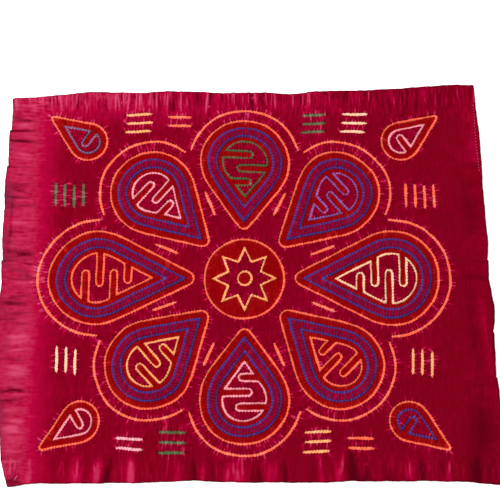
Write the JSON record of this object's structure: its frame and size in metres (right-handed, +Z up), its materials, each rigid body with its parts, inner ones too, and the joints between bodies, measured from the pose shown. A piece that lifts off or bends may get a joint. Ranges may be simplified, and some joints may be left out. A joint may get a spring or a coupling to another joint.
{
  "type": "mola panel",
  "caption": "Rectangular hand-sewn panel of layered red cotton, with petal windows, coloured rims and slotted patches. It lies flat, face up, with rippled edges.",
  "frame": {"origin": "on the surface the panel lies on, under the middle of its bounding box", "axes": "+X along the panel's width towards the viewer's right, +Y towards its top edge, +Z up out of its face"},
  "size_m": [0.4482, 0.368, 0.0081],
  "materials": {
    "crimson_cotton": "plain-woven matte cotton",
    "scarlet_cotton": "plain-woven matte cotton",
    "orange_cotton": "plain-woven matte cotton",
    "blue_cotton": "plain-woven matte cotton",
    "yellow_cotton": "plain-woven matte cotton",
    "cream_cotton": "plain-woven matte cotton",
    "pink_cotton": "plain-woven matte cotton",
    "green_cotton": "plain-woven matte cotton",
    "purple_cotton": "plain-woven matte cotton",
    "violet_cotton": "plain-woven matte cotton"
  },
  "bodies": {
    "root": {"base_cloth": "scarlet_cotton", "crimson_cloth": "crimson_cotton", "leaf_lower_left_comb": "pink_cotton", "leaf_lower_left_comb_overlay": "crimson_cotton", "leaf_lower_right_comb": "blue_cotton", "leaf_lower_right_comb_overlay": "crimson_cotton", "leaf_upper_left_comb": "violet_cotton", "leaf_upper_left_comb_overlay": "crimson_cotton", "leaf_upper_right_comb": "pink_cotton", "leaf_upper_right_comb_overlay": "crimson_cotton", "orange_cloth": "orange_cotton", "petal_bottom_band": "blue_cotton", "petal_bottom_band_overlay": "crimson_cotton", "petal_bottom_comb": "pink_cotton", "petal_bottom_comb_overlay": "crimson_cotton", "petal_left_band": "blue_cotton", "petal_left_band_overlay": "crimson_cotton", "petal_left_comb": "orange_cotton", "petal_left_comb_overlay": "crimson_cotton", "petal_lower_left_band": "blue_cotton", "petal_lower_left_band_overlay": "crimson_cotton", "petal_lower_left_comb": "yellow_cotton", "petal_lower_left_comb_overlay": "crimson_cotton", "petal_lower_right_band": "blue_cotton", "petal_lower_right_band_overlay": "crimson_cotton", "petal_lower_right_comb": "orange_cotton", "petal_lower_right_comb_overlay": "crimson_cotton", "petal_right_band": "blue_cotton", "petal_right_band_overlay": "crimson_cotton", "petal_right_comb": "cream_cotton", "petal_right_comb_overlay": "crimson_cotton", "petal_top_band": "blue_cotton", "petal_top_band_overlay": "crimson_cotton", "petal_top_comb": "green_cotton", "petal_top_comb_overlay": "crimson_cotton", "petal_upper_left_band": "blue_cotton", "petal_upper_left_band_overlay": "crimson_cotton", "petal_upper_left_comb": "pink_cotton", "petal_upper_left_comb_overlay": "crimson_cotton", "petal_upper_right_band": "blue_cotton", "petal_upper_right_band_overlay": "crimson_cotton", "petal_upper_right_comb": "purple_cotton", "petal_upper_right_comb_overlay": "crimson_cotton", "scrap_bottom_1": "pink_cotton", "scrap_bottom_2": "green_cotton", "scrap_bottom_3": "yellow_cotton", "scrap_left_lower": "cream_cotton", "scrap_left_upper": "green_cotton", "scrap_right_lower": "yellow_cotton", "scrap_top_1": "yellow_cotton", "scrap_top_3": "green_cotton", "scrap_top_4": "cream_cotton", "star": "yellow_cotton", "star_overlay": "crimson_cotton"}
  },
  "joints": []
}
